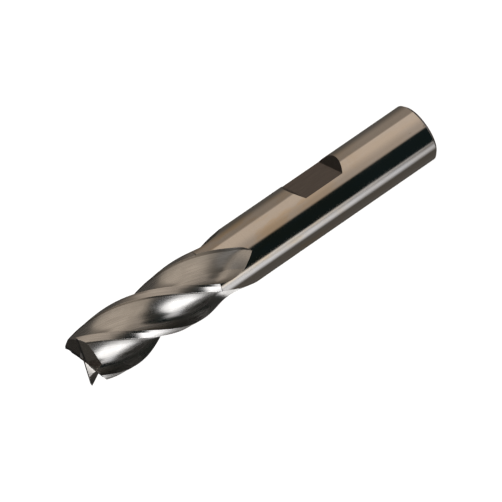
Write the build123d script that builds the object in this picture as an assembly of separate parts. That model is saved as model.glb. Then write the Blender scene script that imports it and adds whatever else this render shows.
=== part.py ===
from build123d import *
from math import cos, degrees, radians, sin, tan
import os

# Four-flute centre-cutting end mill with a side-lock shank, welded up from two pieces:
# a high-speed-steel cutting head and a tool-steel shank.
# Frame: millimetres, +Z along the tool axis from the shank's back end to the cutting end,
# origin at the centre of the back end face, the set-screw flat faces -Y.
# The tool has a right-handed helix and a right-hand cut: the flute lies ahead of each
# cutting edge, at larger angles about +Z.

# Overall sizes
shank_diameter = 9.52
cutter_diameter = 9.525
overall_length = 63.5
weld_height = 27.0
head_grinding_stock = 0.02
back_chamfer = 0.45

# Set-screw flat, with end walls that slope outwards
flat_centre_height = 18.9
flat_floor_length = 6.95
flat_to_far_side = 8.255
flat_wall_angle = 45.0

# Flutes
tooth_count = 4
helix_angle = 31.0
core_diameter = 5.5
first_tooth_angle = 81.0
rake_angle = 9.0
rake_depth = 0.75
gullet_angle = 26.0
heel_angle = 71.5
heel_radius = 4.33
heel_wall_angle = 50.0
back_slope = 45.0

# Lengths of the outline curves' handles, as shares of each curve's reach
rake_handle = 0.6
gullet_handle = 0.4
back_handle = 0.33
heel_handle = 0.3

# How far a flute's void reaches outside the bar, as shares of the cutter's radius
rake_side_reach = 0.5
middle_reach = 2.6
heel_side_reach = 1.0

# Run-out: the flute rises out of the bar, first on its rake side and last on its heel side
lift_start = 24.9
lift_lag = 1.21
lift_rate = 0.345
lift_angle = 32.0
void_end_depth = 30.8

# Relief ground behind every side cutting edge
relief_length = 22.6
primary_width = 0.4
primary_angle = 9.0
secondary_width = 1.3
secondary_angle = 20.0
relief_overrun = 0.3
relief_ahead_angle = 3.0
relief_behind_angle = 26.0

# End teeth
end_primary_width = 0.55
end_primary_angle = 9.0
end_secondary_angle = 27.0
end_dish_angle = 2.0
gash_bottom_width = 0.35
gash_bottom_radius = 0.315
gash_opening_angle = 62.0
gash_slope = 20.0
gash_start_depth = 0.45
long_gash_start = 0.1
short_gash_start = 1.2

section_step = 0.7
clearance = 1.0

cutter_radius = cutter_diameter / 2
shank_radius = shank_diameter / 2
tooth_pitch = 360.0 / tooth_count
turn_per_mm = degrees(tan(radians(helix_angle)) / cutter_radius)


def unit(angle):
    """Unit vector in the transverse plane at an angle in degrees."""
    return Vector(cos(radians(angle)), sin(radians(angle)))


def lifted(point, depth):
    """A flute outline's point at a depth, raised by the run-out."""
    across = point.dot(unit(lift_angle + 90))
    past = max(0.0, depth - lift_start - lift_lag * across)
    return point + unit(lift_angle) * (lift_rate * past**2)


def flute_outline(depth):
    """Closed transverse outline of one flute's void, ahead of a cutting edge at angle 0."""
    edge = unit(0) * cutter_radius
    inward = unit(180 + rake_angle)
    rake_foot = edge + inward * rake_depth
    bottom = unit(gullet_angle) * core_diameter / 2
    bottom_along = unit(gullet_angle + 90)
    heel = unit(heel_angle) * heel_radius
    back_along = unit(heel_angle + 90 - back_slope)
    wall_along = unit(heel_angle + 90 - heel_wall_angle)
    gullet_reach = (bottom - rake_foot).length
    back_reach = (heel - bottom).length
    gullet = [
        rake_foot,
        rake_foot + inward * gullet_reach * rake_handle,
        bottom - bottom_along * gullet_reach * gullet_handle,
        bottom,
    ]
    back = [
        bottom,
        bottom + bottom_along * back_reach * back_handle,
        heel - back_along * back_reach * heel_handle,
        heel,
    ]
    outside = [
        heel + wall_along * cutter_radius * heel_side_reach,
        unit(heel_angle / 2) * cutter_radius * middle_reach,
        edge - inward * cutter_radius * rake_side_reach,
    ]
    gullet, back, outside = ([lifted(p, depth) for p in points] for points in (gullet, back, outside))
    rim = [back[-1]] + outside + [gullet[0]]
    edges = [Edge.make_bezier(*gullet), Edge.make_bezier(*back)]
    return edges + [Edge.make_line(a, b) for a, b in zip(rim, rim[1:])]


def relief_outline(depth):
    """Closed transverse outline above the two relief facets behind a cutting edge at angle 0."""
    primary = unit(-90 - primary_angle)
    secondary = unit(-90 - secondary_angle)
    edge = unit(0) * cutter_radius
    step = edge + primary * primary_width
    outside_radius = cutter_radius + clearance
    points = [
        edge - primary * relief_overrun,
        step,
        step + secondary * secondary_width,
        unit(-relief_behind_angle) * outside_radius,
        unit(relief_ahead_angle) * outside_radius,
    ]
    return [Edge.make_line(a, b) for a, b in zip(points, points[1:] + points[:1])]


def twisted_void(outline, end_depth):
    """Smooth solid along the helix through outlines from just beyond the cutting end to a depth."""
    steps = round((end_depth + clearance) / section_step)
    sections = []
    for i in range(steps + 1):
        depth = -clearance + (end_depth + clearance) * i / steps
        place = Pos(0, 0, overall_length - depth) * Rot(0, 0, -depth * turn_per_mm)
        sections.append(place * Wire(outline(depth)))
    return Solid.make_loft(sections)


def end_relief():
    """Void above one end tooth's relief, for an end cutting edge that runs along +X at height 0."""
    reach = cutter_radius + clearance
    primary_drop = end_primary_width * tan(radians(end_primary_angle))
    far_drop = primary_drop + (reach - end_primary_width) * tan(radians(end_secondary_angle))
    outline = Polyline(
        (0, 0),
        (-end_primary_width, -primary_drop),
        (-reach, -far_drop),
        (-reach, 2 * clearance),
        (0, 2 * clearance),
        close=True,
    )
    void = extrude(Plane.YZ * make_face(outline), amount=reach)
    corner = Pos(cutter_radius, 0, 0)
    return corner * Rot(0, -end_dish_angle, 0) * corner.inverse() * void


def gash(start):
    """Void of the gash in front of an end cutting edge that runs along +X at height 0."""
    reach = 2 * cutter_radius
    rise = gash_start_depth + reach * tan(radians(gash_slope))
    lean = tan(radians(gash_opening_angle))
    outline = Polyline(
        (0, 0),
        (gash_bottom_width, 0),
        (gash_bottom_width + rise * lean, rise),
        (0, rise),
        close=True,
    )
    face = make_face(outline)
    bottom_corner = face.vertices().sort_by_distance((0, 0))[0]
    face = fillet(bottom_corner, gash_bottom_radius)
    void = extrude(Plane.YZ * face, amount=reach)
    return Pos(start, 0, -gash_start_depth) * Rot(0, gash_slope, 0) * void


def at_tooth(tooth):
    """Turn that takes a cutting edge from angle 0 to its own place at the cutting end."""
    return Rot(0, 0, first_tooth_angle + tooth * tooth_pitch)


def side_teeth():
    """Flute and relief voids of every tooth."""
    flute = twisted_void(flute_outline, void_end_depth)
    relief = twisted_void(relief_outline, relief_length)
    return [at_tooth(tooth) * void for tooth in range(tooth_count) for void in (flute, relief)]


def end_teeth():
    """Voids that shape the end teeth: two long teeth meet at the axis, two stop short of it."""
    voids = []
    for tooth in range(tooth_count):
        start = long_gash_start if tooth % 2 == 0 else short_gash_start
        place = Pos(0, 0, overall_length) * at_tooth(tooth)
        voids += [place * end_relief(), place * gash(start)]
    return voids


def set_screw_flat():
    """Void of the flat: a trapezoid along the shank, wider at the surface than at the floor."""
    floor_offset = flat_to_far_side - shank_radius
    depth = shank_radius + clearance - floor_offset
    half_floor = flat_floor_length / 2
    half_mouth = half_floor + depth * tan(radians(flat_wall_angle))
    outline = Polyline(
        (-floor_offset, flat_centre_height - half_floor),
        (-floor_offset, flat_centre_height + half_floor),
        (-floor_offset - depth, flat_centre_height + half_mouth),
        (-floor_offset - depth, flat_centre_height - half_mouth),
        close=True,
    )
    return extrude(Plane.YZ * make_face(outline), amount=shank_diameter, both=True)


def cutting_head():
    """High-speed-steel end, ground from a bar that grows by the grinding stock towards the cutting end."""
    head = Pos(0, 0, weld_height) * Cone(
        shank_radius,
        cutter_radius + head_grinding_stock,
        overall_length - weld_height,
        align=(Align.CENTER, Align.CENTER, Align.MIN),
    )
    for void in side_teeth() + end_teeth():
        head = head - void
    return head


def shank():
    """Tool-steel shank from its chamfered back end up to the weld, with the set-screw flat."""
    bar = Cylinder(shank_radius, weld_height, align=(Align.CENTER, Align.CENTER, Align.MIN))
    bar = chamfer(bar.edges().sort_by(Axis.Z)[0], back_chamfer)
    return bar - set_screw_flat()


os.makedirs("parts", exist_ok=True)
for name, solid in (("cutting_head", cutting_head()), ("shank", shank())):
    export_step(solid, f"parts/{name}.step")
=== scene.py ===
from math import cos, degrees, radians, sin, tan

import bmesh
import bpy
from mathutils import Matrix, Quaternion, Vector


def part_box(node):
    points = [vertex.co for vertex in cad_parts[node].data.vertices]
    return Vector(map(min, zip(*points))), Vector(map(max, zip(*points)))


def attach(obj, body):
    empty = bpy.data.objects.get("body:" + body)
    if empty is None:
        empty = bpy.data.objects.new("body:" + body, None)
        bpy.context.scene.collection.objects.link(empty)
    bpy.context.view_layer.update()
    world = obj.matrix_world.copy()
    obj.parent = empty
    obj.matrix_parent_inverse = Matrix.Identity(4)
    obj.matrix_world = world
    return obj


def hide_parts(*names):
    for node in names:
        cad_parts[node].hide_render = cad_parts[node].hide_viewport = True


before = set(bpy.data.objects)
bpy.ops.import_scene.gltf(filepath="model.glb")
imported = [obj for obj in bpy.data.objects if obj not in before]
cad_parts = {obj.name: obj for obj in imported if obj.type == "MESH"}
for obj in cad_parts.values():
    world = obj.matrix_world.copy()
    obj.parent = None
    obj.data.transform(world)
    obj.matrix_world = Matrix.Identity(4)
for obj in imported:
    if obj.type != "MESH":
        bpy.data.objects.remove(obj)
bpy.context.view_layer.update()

# Metres and degrees, in the part's own frame: +Z along the tool axis to the cutting end.

# Camera: where it looks from, and how it sees the tool
VIEW_AZIMUTH = -58.0
VIEW_ELEVATION = 19.8
AXIS_RISE = 34.57  # the tool axis rises by this much to the right of the picture
CAMERA_DISTANCE = 0.9296
LENS_MM = 458.4
AIM_RIGHT = 0.02434  # from the cutting end's centre to the picture's centre
AIM_UP = 0.01613
CAMERA_REACH = 10.0

# Floor: its half width, how pale it is, and how much it glows on top of the light that falls on it
FLOOR_REACH = 3.0
FLOOR_COLOUR = (0.98, 0.98, 0.98, 1)
FLOOR_GLOW = 0.93


# ---------------------------------------------------------------- shader node helpers


def add(tree, kind, inputs=None, **settings):
    """New shader node. An input's value is a number, a colour, or another node's output socket."""
    node = tree.nodes.new(kind)
    for name, value in settings.items():
        setattr(node, name, value)
    for name, value in (inputs or {}).items():
        if isinstance(value, bpy.types.NodeSocket):
            tree.links.new(value, node.inputs[name])
        else:
            node.inputs[name].default_value = value
    return node


def maths(tree, operation, *values):
    """Output of a maths node on numbers or sockets."""
    return add(tree, "ShaderNodeMath", dict(enumerate(values)), operation=operation).outputs[0]


def dot(tree, first, second):
    """Dot product of two vectors or sockets."""
    made = add(tree, "ShaderNodeVectorMath", {0: first, 1: second}, operation="DOT_PRODUCT")
    return made.outputs["Value"]


def smooth_step(tree, value, start, end):
    """0 below start, 1 above end, smooth between them."""
    inputs = {"Value": value, "From Min": start, "From Max": end}
    return add(tree, "ShaderNodeMapRange", inputs, interpolation_type="SMOOTHSTEP").outputs[0]


def mix(tree, factor, below, above):
    """Colour that goes from below to above as factor goes from 0 to 1."""
    made = add(tree, "ShaderNodeMix", {0: factor, 6: below, 7: above}, data_type="RGBA")
    return made.outputs[2]


def mix_value(tree, factor, below, above):
    """Number that goes from below to above as factor goes from 0 to 1."""
    return add(tree, "ShaderNodeMix", {0: factor, 2: below, 3: above}, data_type="FLOAT").outputs[0]


def new_material(name):
    """Node tree of a new, empty material."""
    material = bpy.data.materials.new(name)
    material.use_nodes = True
    material.node_tree.nodes.clear()
    return material.node_tree


# ---------------------------------------------------------------- camera, light and floor


def camera_turn():
    """Direction from the tool to the camera, and the camera's rotation."""
    azimuth, elevation = radians(VIEW_AZIMUTH), radians(VIEW_ELEVATION)
    toward_camera = Vector(
        (
            sin(azimuth) * cos(elevation),
            -cos(azimuth) * cos(elevation),
            sin(elevation),
        )
    )
    level = toward_camera.to_track_quat("Z", "Y")
    return toward_camera, level @ Quaternion((0, 0, 1), -radians(90 + AXIS_RISE))


def make_camera():
    """Camera that looks down on the tool from the cutting end's side."""
    toward_camera, turn = camera_turn()
    tip = Vector((0, 0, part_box("cutting_head")[1].z))
    aim = tip + turn @ Vector((AIM_RIGHT, AIM_UP, 0))
    made = bpy.data.objects.new("camera", bpy.data.cameras.new("camera"))
    made.rotation_mode = "QUATERNION"
    made.rotation_quaternion = turn
    made.location = aim + toward_camera * CAMERA_DISTANCE
    made.data.lens = LENS_MM
    made.data.clip_end = CAMERA_REACH
    bpy.context.scene.collection.objects.link(made)
    bpy.context.scene.camera = made


# Soft cards round the tool, as a mirror ball at the tool shows them to the camera: x to the right and
# y down, 0 at the ball's middle and 1 at its rim. Each is painted over the ones before it.
SURROUNDINGS = (0.11, 0.102, 0.092)
BOX, OVAL = 8.0, 2.0
CARDS = (
    # colour, centre x, centre y, half width, half height, turn clockwise, outline, softness
    ((0.32, 0.27, 0.225), -0.05, -0.52, 0.24, 0.42, -32, OVAL, 0.30),  # grey wall behind the board
    ((0.71, 0.605, 0.505), 0.025, -0.20, 0.24, 0.455, -30, BOX, 0.05),  # warm board behind the camera
    ((0.48, 0.41, 0.35), 0.26, -0.24, 0.10, 0.20, -30, OVAL, 0.80),  # its shaded side
    ((0.16, 0.15, 0.14), 0.30, -0.56, 0.09, 0.36, -35, OVAL, 0.40),
    ((0.010, 0.014, 0.012), 0.56, -0.42, 0.13, 0.62, -35, OVAL, 0.35),  # dark card, above to the right
    ((0.05, 0.048, 0.045), 0.74, 0.26, 0.12, 0.42, -5, OVAL, 0.40),  # dim side of the studio
    ((0.07, 0.075, 0.085), 0.26, 0.30, 0.05, 0.26, 3, OVAL, 0.50),  # bluish edge of the light
    ((2.8, 2.8, 2.85), 0.425, 0.54, 0.11, 0.33, 10, OVAL, 0.22),  # tall soft light, below to the right
    ((0.008, 0.014, 0.015), 0.43, 0.03, 0.21, 0.22, 0, BOX, 0.14),  # dark card above the light
    ((1.0, 1.04, 1.12), 0.577, 0.39, 0.026, 0.075, -18, OVAL, 0.70),  # glint of a second, cooler light
    ((1.1, 1.1, 1.12), -0.36, 0.22, 0.12, 0.20, -20, OVAL, 0.50),  # soft light over the cutting end
    ((0.02, 0.02, 0.02), -0.74, 0.46, 0.30, 0.36, 30, OVAL, 0.30),  # dark card, low on the left
    ((0.03, 0.027, 0.022), -0.78, -0.20, 0.15, 0.24, 20, OVAL, 0.35),  # and one above it
    ((1.4, 1.4, 1.45), -0.10, 0.95, 0.34, 0.05, 4, OVAL, 0.50),  # soft lights behind the tool
    ((1.4, 1.38, 1.34), -0.94, -0.24, 0.05, 0.24, 12, OVAL, 0.50),
    ((0.9, 0.9, 0.92), 0.78, -0.57, 0.05, 0.30, -35, OVAL, 0.50),
)


def make_surroundings():
    """World of soft cards. The camera itself sees plain white."""
    toward_camera, turn = camera_turn()
    world = bpy.data.worlds.new("studio")
    bpy.context.scene.world = world
    world.use_nodes = True
    tree = world.node_tree
    tree.nodes.clear()
    direction = add(tree, "ShaderNodeTexCoord").outputs["Generated"]
    facing = dot(tree, direction, toward_camera)
    # the tiny excess over 2 keeps the divisor above zero straight behind the ball
    spread = maths(tree, "SQRT", maths(tree, "MULTIPLY_ADD", facing, 2.0, 2.001))
    ball_x = maths(tree, "DIVIDE", dot(tree, direction, turn @ Vector((1, 0, 0))), spread)
    ball_y = maths(tree, "DIVIDE", dot(tree, direction, turn @ Vector((0, -1, 0))), spread)
    colour = (*SURROUNDINGS, 1)
    for card, centre_x, centre_y, half_width, half_height, turn_angle, outline, softness in CARDS:
        c, s = cos(radians(turn_angle)), sin(radians(turn_angle))
        from_x = maths(tree, "SUBTRACT", ball_x, centre_x)
        from_y = maths(tree, "SUBTRACT", ball_y, centre_y)
        across = maths(tree, "MULTIPLY_ADD", from_y, s, maths(tree, "MULTIPLY", from_x, c))
        along = maths(tree, "MULTIPLY_ADD", from_x, -s, maths(tree, "MULTIPLY", from_y, c))
        reach = 0.0
        for offset, half in ((across, half_width), (along, half_height)):
            share = maths(tree, "ABSOLUTE", maths(tree, "DIVIDE", offset, half))
            reach = maths(tree, "ADD", maths(tree, "POWER", share, outline), reach)
        reach = maths(tree, "POWER", reach, 1 / outline)
        shade = smooth_step(tree, reach, 1 + softness, 1 - softness)
        colour = mix(tree, shade, colour, (*card, 1))
    seen = add(tree, "ShaderNodeLightPath").outputs["Is Camera Ray"]
    background = add(tree, "ShaderNodeBackground", {"Color": mix(tree, seen, colour, (1, 1, 1, 1))})
    add(tree, "ShaderNodeOutputWorld", {"Surface": background.outputs[0]})


def make_floor():
    """Pale floor under the tool, left out of reflections."""
    mesh = bpy.data.meshes.new("floor")
    corners = [(x * FLOOR_REACH, y * FLOOR_REACH, 0) for x, y in ((-1, -1), (1, -1), (1, 1), (-1, 1))]
    mesh.from_pydata(corners, [], [(0, 1, 2, 3)])
    floor = bpy.data.objects.new("floor", mesh)
    bpy.context.scene.collection.objects.link(floor)
    floor.visible_glossy = False
    tree = new_material("pale_floor")
    matte = add(tree, "ShaderNodeBsdfDiffuse", {"Color": FLOOR_COLOUR})
    glow = add(tree, "ShaderNodeEmission", {"Color": FLOOR_COLOUR, "Strength": FLOOR_GLOW})
    both = add(tree, "ShaderNodeAddShader", {0: matte.outputs[0], 1: glow.outputs[0]})
    add(tree, "ShaderNodeOutputMaterial", {"Surface": both.outputs[0]})
    mesh.materials.append(bpy.data.materials["pale_floor"])


# ---------------------------------------------------------------- cutting head's mesh

# Millimetres and degrees, as the part is ground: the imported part's solids have the same shapes
TOOTH_COUNT = 4
HELIX_ANGLE = 31.0
CUTTER_RADIUS = 4.7625
CORE_RADIUS = 2.75
FIRST_TOOTH_ANGLE = 81.0
RAKE_ANGLE = 9.0
RAKE_DEPTH = 0.75
GULLET_ANGLE = 26.0
HEEL_ANGLE = 71.5
HEEL_RADIUS = 4.33
HEEL_WALL_ANGLE = 50.0
BACK_SLOPE = 45.0
RAKE_HANDLE = 0.6  # the handles' lengths, as shares of their curve's reach
GULLET_HANDLE = 0.4
BACK_HANDLE = 0.33
HEEL_HANDLE = 0.3
RAKE_SIDE_REACH = 0.5  # how far a flute's void reaches outside the bar, in cutter radii
MIDDLE_REACH = 2.6
LIFT_START = 24.9
LIFT_LAG = 1.21
LIFT_RATE = 0.345
LIFT_ANGLE = 32.0
VOID_END = 30.8
RELIEF_LENGTH = 22.6
PRIMARY_WIDTH = 0.4
PRIMARY_ANGLE = 9.0
SECONDARY_WIDTH = 1.3
SECONDARY_ANGLE = 20.0
RELIEF_OVERRUN = 0.3
RELIEF_AHEAD_ANGLE = 3.0
RELIEF_BEHIND_ANGLE = 26.0
END_PRIMARY_WIDTH = 0.55
END_PRIMARY_ANGLE = 9.0
END_SECONDARY_ANGLE = 27.0
END_DISH_ANGLE = 2.0
GASH_BOTTOM = 0.35
GASH_RADIUS = 0.315
GASH_OPENING_ANGLE = 62.0
GASH_SLOPE = 20.0
GASH_DEPTH = 0.45
GASH_STARTS = (0.1, 1.2)  # long teeth reach the middle, short ones stop before it
GRINDING_STOCK = 0.02
BEYOND = 1.0  # how far voids stand clear of the metal they cut
SECTION_STEP = 0.25
BAR_SIDES = 288
BAR_BANDS = 40
SHARP_ANGLE = 25.0  # edges that turn more than this are shaded as crisp ones

# Steps along each stretch of an outline
GULLET_STEPS = 26
BACK_STEPS = 22
WALL_STEPS = 8
RAKE_STEPS = 12
PRIMARY_STEPS = 3
SECONDARY_STEPS = 5
GASH_CORNER_STEP = 15

MM = 0.001
MICRON = 0.000001
TURN_PER_MM = degrees(tan(radians(HELIX_ANGLE)) / CUTTER_RADIUS)
SURFACES = ("bar", "flute", "heel_wall", "land", "relief", "end_land", "end_relief", "gash")


def unit(angle):
    """Unit vector in the transverse plane at an angle in degrees."""
    return Vector((cos(radians(angle)), sin(radians(angle)), 0))


def lifted(point, depth):
    """A flute outline's point at a depth, raised by the run-out."""
    across = point.dot(unit(LIFT_ANGLE + 90))
    past = max(0.0, depth - LIFT_START - LIFT_LAG * across)
    return point + unit(LIFT_ANGLE) * (LIFT_RATE * past**2)


def curve(controls, count):
    """Points along a cubic Bezier curve, without its last one."""
    a, b, c, d = controls
    points = []
    for i in range(count):
        t = i / count
        near = a * (1 - t) ** 3 + b * 3 * t * (1 - t) ** 2
        points.append(near + c * 3 * t * t * (1 - t) + d * t**3)
    return points


def straight(a, b, count):
    """Points along a straight line, without its last one."""
    return [a.lerp(b, i / count) for i in range(count)]


def flute_ring(depth):
    """Points round one flute's void at a depth, and the surface that each stretch cuts."""
    edge = unit(0) * CUTTER_RADIUS
    inward = unit(180 + RAKE_ANGLE)
    rake_foot = edge + inward * RAKE_DEPTH
    bottom = unit(GULLET_ANGLE) * CORE_RADIUS
    bottom_along = unit(GULLET_ANGLE + 90)
    heel = unit(HEEL_ANGLE) * HEEL_RADIUS
    back_along = unit(HEEL_ANGLE + 90 - BACK_SLOPE)
    wall_top = heel + unit(HEEL_ANGLE + 90 - HEEL_WALL_ANGLE) * CUTTER_RADIUS
    far = unit(HEEL_ANGLE / 2) * CUTTER_RADIUS * MIDDLE_REACH
    rake_top = edge - inward * CUTTER_RADIUS * RAKE_SIDE_REACH
    gullet_reach = (bottom - rake_foot).length
    back_reach = (heel - bottom).length
    gullet = (
        rake_foot,
        rake_foot + inward * gullet_reach * RAKE_HANDLE,
        bottom - bottom_along * gullet_reach * GULLET_HANDLE,
        bottom,
    )
    back = (
        bottom,
        bottom + bottom_along * back_reach * BACK_HANDLE,
        heel - back_along * back_reach * HEEL_HANDLE,
        heel,
    )
    gullet, back = ([lifted(point, depth) for point in controls] for controls in (gullet, back))
    wall_top, far, rake_top = (lifted(point, depth) for point in (wall_top, far, rake_top))
    points = curve(gullet, GULLET_STEPS) + curve(back, BACK_STEPS)
    points += straight(back[-1], wall_top, WALL_STEPS)
    points += [wall_top, far] + straight(rake_top, gullet[0], RAKE_STEPS)
    surfaces = ["flute"] * (GULLET_STEPS + BACK_STEPS) + ["heel_wall"] * WALL_STEPS
    surfaces += ["flute"] * (2 + RAKE_STEPS)
    return points, surfaces


def relief_ring(depth):
    """Points round the void above the two relief facets behind a cutting edge at angle 0."""
    primary = unit(-90 - PRIMARY_ANGLE)
    secondary = unit(-90 - SECONDARY_ANGLE)
    edge = unit(0) * CUTTER_RADIUS
    step = edge + primary * PRIMARY_WIDTH
    outside = CUTTER_RADIUS + BEYOND
    start, end = edge - primary * RELIEF_OVERRUN, step + secondary * SECONDARY_WIDTH
    points = straight(start, step, PRIMARY_STEPS) + straight(step, end, SECONDARY_STEPS)
    points += [end, unit(-RELIEF_BEHIND_ANGLE) * outside, unit(RELIEF_AHEAD_ANGLE) * outside]
    return points, ["land"] * PRIMARY_STEPS + ["relief"] * (SECONDARY_STEPS + 3)


def tube(name, rings, surfaces):
    """Closed mesh through rings of points in millimetres, with one surface name per stretch of a ring."""
    count = len(rings[0])
    mesh = bpy.data.meshes.new(name)
    vertices = [point * MM for ring in rings for point in ring]
    faces, kinds = [], []
    for low in range(0, len(vertices) - count, count):
        for i in range(count):
            j = (i + 1) % count
            faces.append((low + i, low + j, low + j + count, low + i + count))
            kinds.append(SURFACES.index(surfaces[i]))
    faces += [tuple(reversed(range(count))), tuple(range(len(vertices) - count, len(vertices)))]
    kinds += [0, 0]
    mesh.from_pydata(vertices, [], faces)
    for surface in SURFACES:
        mesh.materials.append(bpy.data.materials[surface])
    mesh.polygons.foreach_set("material_index", kinds)
    tidy = bmesh.new()
    tidy.from_mesh(mesh)
    bmesh.ops.recalc_face_normals(tidy, faces=tidy.faces)
    tidy.to_mesh(mesh)
    tidy.free()
    made = bpy.data.objects.new(name, mesh)
    bpy.context.scene.collection.objects.link(made)
    return made


def tooth_turn(tooth):
    """Turn that takes a cutting edge from angle 0 to its own place at the cutting end."""
    return Matrix.Rotation(radians(FIRST_TOOTH_ANGLE + tooth * 360 / TOOTH_COUNT), 3, "Z")


def helical_void(name, ring, end_depth, tooth, tip):
    """Void along the helix, from just beyond the cutting end to a depth."""
    steps = round((end_depth + BEYOND) / SECTION_STEP)
    rings, surfaces = [], []
    for i in range(steps + 1):
        depth = -BEYOND + (end_depth + BEYOND) * i / steps
        points, surfaces = ring(depth)
        turn = Matrix.Rotation(radians(-depth * TURN_PER_MM), 3, "Z")
        rings.append([tooth_turn(tooth) @ (turn @ point) + Vector((0, 0, tip - depth)) for point in points])
    return tube(name, rings, surfaces)


def end_relief_void(tooth, tip):
    """Void above one end tooth's relief."""
    reach = CUTTER_RADIUS + BEYOND
    drop = END_PRIMARY_WIDTH * tan(radians(END_PRIMARY_ANGLE))
    far_drop = drop + (reach - END_PRIMARY_WIDTH) * tan(radians(END_SECONDARY_ANGLE))
    outline = (
        (0, 0),
        (-END_PRIMARY_WIDTH, -drop),
        (-reach, -far_drop),
        (-reach, 2 * BEYOND),
        (0, 2 * BEYOND),
    )
    corner = Vector((CUTTER_RADIUS, 0, 0))
    tilt = Matrix.Rotation(radians(-END_DISH_ANGLE), 3, "Y")
    rings = []
    for x in (0, reach):
        ring = [corner + tilt @ (Vector((x, y, z)) - corner) for y, z in outline]
        rings.append([tooth_turn(tooth) @ point + Vector((0, 0, tip)) for point in ring])
    surfaces = ["end_land"] + ["end_relief"] * 3 + ["gash"]
    return tube(f"end_relief_{tooth}", rings, surfaces)


def gash_void(tooth, tip):
    """Void of the gash in front of one end tooth, with a rounded bottom corner."""
    reach = 2 * CUTTER_RADIUS
    rise = GASH_DEPTH + reach * tan(radians(GASH_SLOPE))
    lean = tan(radians(GASH_OPENING_ANGLE))
    outline = []
    for angle in range(0, 91, GASH_CORNER_STEP):
        across, up = GASH_RADIUS * cos(radians(angle)), GASH_RADIUS * sin(radians(angle))
        outline.append((GASH_RADIUS - across, GASH_RADIUS - up))
    outline += [(GASH_BOTTOM, 0), (GASH_BOTTOM + rise * lean, rise), (0, rise)]
    tilt = Matrix.Rotation(radians(GASH_SLOPE), 3, "Y")
    start = Vector((GASH_STARTS[tooth % 2], 0, tip - GASH_DEPTH))
    rings = []
    for x in (0, reach):
        rings.append([tooth_turn(tooth) @ (tilt @ Vector((x, y, z)) + start) for y, z in outline])
    return tube(f"gash_{tooth}", rings, ["gash"] * len(outline))


def head_bar(low, high, radius):
    """Bar that the head is ground from, in thin bands so that its long faces stay even."""
    rings = []
    for i in range(BAR_BANDS + 1):
        z = low + (high - low) * i / BAR_BANDS
        r = radius + (CUTTER_RADIUS + GRINDING_STOCK - radius) * i / BAR_BANDS
        rings.append([unit(360 * side / BAR_SIDES) * r + Vector((0, 0, z)) for side in range(BAR_SIDES)])
    return tube("cutting_head_steel", rings, ["bar"] * BAR_SIDES)


def make_cutting_head():
    """The head's bar with every void cut out of it, and crisp edges between its ground surfaces."""
    low, high = (corner.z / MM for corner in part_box("cutting_head"))
    tip = round(high, 2)
    head = head_bar(low, tip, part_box("shank")[1].x / MM)
    voids = []
    for tooth in range(TOOTH_COUNT):
        voids.append(helical_void(f"flute_{tooth}", flute_ring, VOID_END, tooth, tip))
        voids.append(helical_void(f"side_relief_{tooth}", relief_ring, RELIEF_LENGTH, tooth, tip))
        voids.append(end_relief_void(tooth, tip))
        voids.append(gash_void(tooth, tip))
    for void in voids:
        cut = head.modifiers.new(void.name, "BOOLEAN")
        cut.object = void
        cut.operation = "DIFFERENCE"
        cut.solver = "MANIFOLD"
    evaluated = head.evaluated_get(bpy.context.evaluated_depsgraph_get())
    ground = bpy.data.meshes.new_from_object(evaluated)
    head.modifiers.clear()
    head.data = ground
    for void in voids:
        bpy.data.objects.remove(void)
    edges = bmesh.new()
    edges.from_mesh(ground)
    for face in edges.faces:
        face.smooth = True
    for edge in edges.edges:
        kinds = {face.material_index for face in edge.link_faces}
        edge.smooth = len(kinds) == 1 and edge.calc_face_angle(0) < radians(SHARP_ANGLE)
    edges.to_mesh(ground)
    edges.free()
    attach(head, "root")
    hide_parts("cutting_head")


# ---------------------------------------------------------------- steel

# How fine each pattern is, as noise cells per millimetre of x, y and z: first the grinding marks
ALONG_HELIX = (11.0, 11.0, 0.22)
ROUND_BAR = (0.25, 0.25, 22.0)
ALONG_BAR = (14.0, 14.0, 0.30)
ACROSS_END = (2.0, 16.0, 2.0)
SLOW_PATCHES = (0.5, 0.5, 0.3)
GLOSS_PATCHES = (0.12, 0.12, 0.17)
STRAW_STREAKS = (0.40, 0.40, 0.13)
STAIN_SPECKS = (2.2, 2.2, 1.1)
EDGE_RADIUS = 0.05  # rounded edges that catch the light, in millimetres

# A pale tint is painted on as a highlight where the rounded edge's normal leaves the face's: no painted
# highlight and full painted highlight, as their dot product
EDGE_HIGHLIGHT_FROM = 0.995
EDGE_HIGHLIGHT_TO = 0.93
# pale tint painted along the edges as a highlight
EDGE_HIGHLIGHT_COLOUR = (0.78, 0.76, 0.73, 1)
ROUNDED_EDGE_ROUGHNESS = 0.22

# Head: its run-out is rougher, from no change at the first height to the full change at the second,
# and slow patches are a little darker and rougher
RUN_OUT_HEIGHTS = (43.0, 38.0)
RUN_OUT_ROUGHNESS = 0.14
SLOW_COLOUR = (0.39, 0.375, 0.35, 1)
SLOW_SHARE = 0.35
SLOW_ROUGHNESS = 0.05

# Bar: polished at the first radius and beyond, matte at the second and within, such as on the flat.
# Heights are again those of no change and of the full change.
MATTE_RADII = (4.752, 4.742)
STRAW_COLOUR = (0.62, 0.48, 0.31, 1)
STRAW_HEIGHTS = (10.0, 32.0)
STRAW_LEAST = 0.30
STRAW_GROWTH = 0.35
PALE_COLOUR = (0.68, 0.65, 0.62, 1)
PALE_HEIGHTS = (16.0, 9.0)
PALE_SHARE = 0.45
STAIN_COLOUR = (0.30, 0.20, 0.13, 1)
STAIN_HEIGHTS = (12.0, 2.0)
STAIN_SHARE = 0.55
STAIN_ROUGHNESS = 0.3
GLOSS_SPREAD = 0.16


def grain(tree, place, cells, detail=3.0):
    """Stretched noise from 0 to 1."""
    stretched = add(tree, "ShaderNodeVectorMath", {0: place, 1: cells}, operation="MULTIPLY").outputs[0]
    inputs = {"Vector": stretched, "Scale": 1.0, "Detail": detail, "Roughness": 0.6}
    return add(tree, "ShaderNodeTexNoise", inputs).outputs["Fac"]


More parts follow.
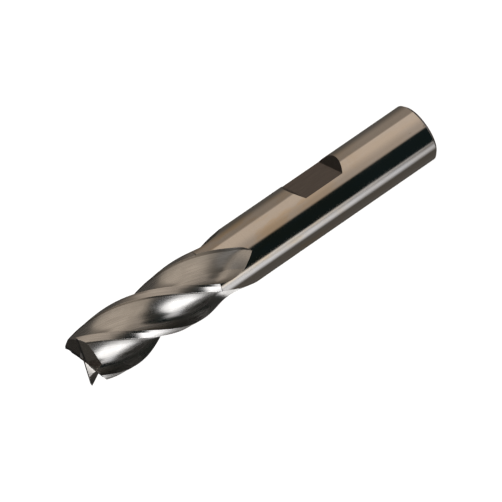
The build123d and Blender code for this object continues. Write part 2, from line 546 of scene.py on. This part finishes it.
def millimetres(tree):
    """Place in the part's frame, in millimetres."""
    here = add(tree, "ShaderNodeTexCoord").outputs["Object"]
    return add(tree, "ShaderNodeVectorMath", {0: here, "Scale": 1 / MM}, operation="SCALE").outputs[0]


def untwisted(tree, place):
    """Place turned back along the helix, so that a helical line becomes a straight one."""
    height = add(tree, "ShaderNodeSeparateXYZ", {0: place}).outputs[2]
    angle = maths(tree, "MULTIPLY", height, -radians(TURN_PER_MM))
    inputs = {"Vector": place, "Angle": angle}
    return add(tree, "ShaderNodeVectorRotate", inputs, rotation_type="Z_AXIS").outputs[0]


def finish_of(tree, place, cells, dark, light, roughness, spread, depth_um):
    """Colour, roughness and height of a finish whose marks run between a dark and a light tint."""
    lines = grain(tree, place, cells)
    tint = mix(tree, smooth_step(tree, lines, 0.32, 0.68), (*dark, 1), (*light, 1))
    rough = maths(tree, "MULTIPLY_ADD", lines, spread, roughness - spread / 2)
    height = maths(tree, "MULTIPLY", lines, depth_um * MICRON)
    return tint, rough, height


def steel_output(tree, tint, rough, height):
    """Steel whose ground marks stand in the surface."""
    relief = add(tree, "ShaderNodeBump", {"Height": height, "Distance": 1.0}).outputs[0]
    inputs = {"Base Color": tint, "Metallic": 1.0, "Roughness": rough, "Normal": relief}
    shader = add(tree, "ShaderNodeBsdfPrincipled", inputs)
    add(tree, "ShaderNodeOutputMaterial", {"Surface": shader.outputs[0]})


def painted_edge_highlight_steel_output(tree, tint, rough, height):
    """Steel with rounded edges that catch the light, and a pale highlight painted along them."""
    rounded_normal = add(tree, "ShaderNodeBevel", {"Radius": EDGE_RADIUS * MM}, samples=4).outputs[0]
    relief = add(tree, "ShaderNodeBump", {"Height": height, "Distance": 1.0, "Normal": rounded_normal}).outputs[0]
    flat = add(tree, "ShaderNodeNewGeometry").outputs["Normal"]
    edge_highlight = smooth_step(tree, dot(tree, rounded_normal, flat), EDGE_HIGHLIGHT_FROM, EDGE_HIGHLIGHT_TO)
    inputs = {
        # pale tint painted along the rounded edges as a highlight
        "Base Color": mix(tree, edge_highlight, tint, EDGE_HIGHLIGHT_COLOUR),
        "Metallic": 1.0,
        "Roughness": mix_value(tree, edge_highlight, rough, ROUNDED_EDGE_ROUGHNESS),
        "Normal": relief,
    }
    shader = add(tree, "ShaderNodeBsdfPrincipled", inputs)
    add(tree, "ShaderNodeOutputMaterial", {"Surface": shader.outputs[0]})


def ground_steel(name, cells, dark, light, roughness, spread, depth_um, twisted=True):
    """Ground surface with grinding lines, and slow changes of tint and gloss over it."""
    tree = new_material(name)
    place = millimetres(tree)
    along = untwisted(tree, place) if twisted else place
    tint, rough, height = finish_of(tree, along, cells, dark, light, roughness, spread, depth_um)
    slow = smooth_step(tree, grain(tree, place, SLOW_PATCHES), 0.35, 0.7)
    height_up = add(tree, "ShaderNodeSeparateXYZ", {0: place}).outputs[2]
    run_out = smooth_step(tree, height_up, *RUN_OUT_HEIGHTS)
    rough = maths(tree, "MULTIPLY_ADD", run_out, RUN_OUT_ROUGHNESS, rough)
    tint = mix(tree, maths(tree, "MULTIPLY", slow, SLOW_SHARE), tint, SLOW_COLOUR)
    rough = maths(tree, "MULTIPLY_ADD", slow, SLOW_ROUGHNESS, rough)
    painted_edge_highlight_steel_output(tree, tint, rough, height)


def polished_bar():
    """Polished round bar with straw streaks, a pale far end and stains, and a matte set-screw flat."""
    tree = new_material("bar")
    place = millimetres(tree)
    x, y, z = add(tree, "ShaderNodeSeparateXYZ", {0: place}).outputs
    radius = maths(tree, "SQRT", maths(tree, "MULTIPLY_ADD", x, x, maths(tree, "MULTIPLY", y, y)))
    polish = finish_of(tree, place, ROUND_BAR, (0.585, 0.545, 0.50), (0.62, 0.58, 0.535), 0.10, 0.05, 0.06)
    matte = finish_of(tree, place, ALONG_BAR, (0.24, 0.21, 0.195), (0.36, 0.315, 0.29), 0.34, 0.12, 1.2)
    straw = smooth_step(tree, grain(tree, place, STRAW_STREAKS, 4.0), 0.42, 0.64)
    warmth = maths(tree, "MULTIPLY_ADD", smooth_step(tree, z, *STRAW_HEIGHTS), STRAW_GROWTH, STRAW_LEAST)
    tint = mix(tree, maths(tree, "MULTIPLY", straw, warmth), polish[0], STRAW_COLOUR)
    pale = maths(tree, "MULTIPLY", smooth_step(tree, z, *PALE_HEIGHTS), PALE_SHARE)
    tint = mix(tree, pale, tint, PALE_COLOUR)
    specks = smooth_step(tree, grain(tree, place, STAIN_SPECKS, 5.0), 0.66, 0.72)
    near_end = smooth_step(tree, z, *STAIN_HEIGHTS)
    stain = maths(tree, "MULTIPLY", maths(tree, "MULTIPLY", specks, near_end), STAIN_SHARE)
    tint = mix(tree, stain, tint, STAIN_COLOUR)
    inside = smooth_step(tree, radius, *MATTE_RADII)
    tint = mix(tree, inside, tint, matte[0])
    gloss = grain(tree, place, GLOSS_PATCHES)
    uneven = maths(tree, "MULTIPLY_ADD", gloss, GLOSS_SPREAD, polish[1])
    stained = maths(tree, "MULTIPLY_ADD", stain, STAIN_ROUGHNESS, uneven)
    polished = maths(tree, "SUBTRACT", stained, GLOSS_SPREAD / 2)
    rough = mix_value(tree, inside, polished, matte[1])
    height = mix_value(tree, inside, polish[2], matte[2])
    steel_output(tree, tint, rough, height)


def make_materials():
    """Materials named after the kinds of surface in SURFACES."""
    polished_bar()
    ground_steel("flute", ALONG_HELIX, (0.43, 0.42, 0.405), (0.58, 0.57, 0.55), 0.26, 0.14, 1.5)
    # the heel wall's tints are painted darker than the flute's: painted shade that makes a dark line along
    # the step
    ground_steel("heel_wall", ALONG_HELIX, (0.20, 0.19, 0.175), (0.34, 0.325, 0.30), 0.24, 0.10, 0.8)
    for name in ("land", "relief"):
        ground_steel(name, ALONG_HELIX, (0.42, 0.41, 0.40), (0.57, 0.56, 0.545), 0.25, 0.10, 0.8)
    # the end faces' tints are painted darker than the flanks': painted shade on the cutting end
    for name in ("end_land", "end_relief", "gash"):
        dark, light = (0.30, 0.285, 0.265), (0.46, 0.44, 0.41)
        ground_steel(name, ACROSS_END, dark, light, 0.26, 0.12, 1.0, twisted=False)


make_camera()
make_surroundings()
make_floor()
make_materials()
make_cutting_head()
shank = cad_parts["shank"]
shank.data.materials.clear()
shank.data.materials.append(bpy.data.materials["bar"])

bpy.context.scene.view_settings.view_transform = "Standard"
